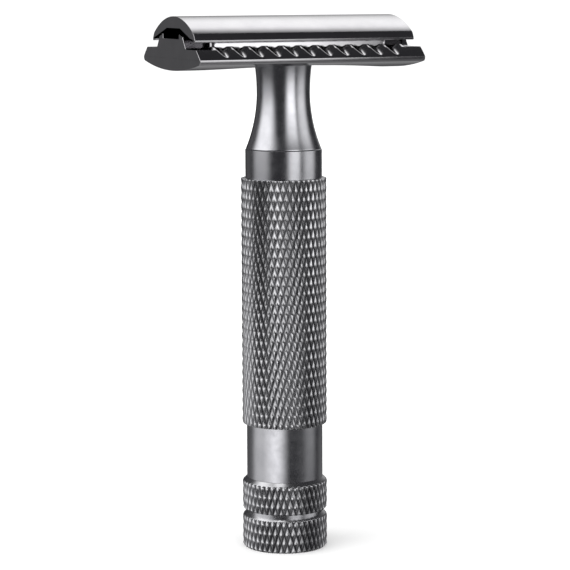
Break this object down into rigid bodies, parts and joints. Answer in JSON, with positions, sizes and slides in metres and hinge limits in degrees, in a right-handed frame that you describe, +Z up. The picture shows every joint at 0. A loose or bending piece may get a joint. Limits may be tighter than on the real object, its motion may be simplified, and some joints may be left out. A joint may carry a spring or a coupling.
{
  "type": "safety razor",
  "caption": "Double-edge safety razor in dark gunmetal: domed cap, scalloped base plate, waisted neck and knurled cylindrical handle with a ringed end knob.",
  "frame": {"origin": "centre of the flat end of the handle, on the surface that the razor stands on", "axes": "+Z up the handle to the head, +X along the head's length, +Y across the head from one cutting edge to the other"},
  "size_m": [0.0444, 0.0286, 0.1002],
  "materials": {
    "gunmetal_satin": "satin gunmetal plating with a fine machined sheen",
    "gunmetal_polished": "polished gunmetal plating",
    "stainless": "turned stainless steel",
    "brass_insert": "turned brass"
  },
  "bodies": {
    "handle": {"end_knob": "gunmetal_satin", "upper_ring": "gunmetal_satin", "core_tube": "gunmetal_satin", "grip_sleeve": "gunmetal_satin", "neck": "gunmetal_satin", "tie_stud": "stainless", "core_plug": "stainless", "threaded_insert": "brass_insert"},
    "plate": {"base_plate": "gunmetal_polished"},
    "cap": {"cap": "gunmetal_polished", "threaded_stud": "stainless", "locating_pin_left": "stainless", "locating_pin_right": "stainless"}
  },
  "joints": [
    {"name": "head_turn", "type": "hinge", "parent": "handle", "child": "plate", "pos_m": [0, 0, 0.09192], "axis": [0, 0, 1], "range_deg": [0, 3600]},
    {"name": "cap_lift", "type": "slide", "parent": "plate", "child": "cap", "axis": [0, 0, 1], "range_m": [0, 0.0081]}
  ],
  "couplings": [
    {"joint": "cap_lift", "follows": "head_turn", "m_per_rad": 0.00012732}
  ]
}
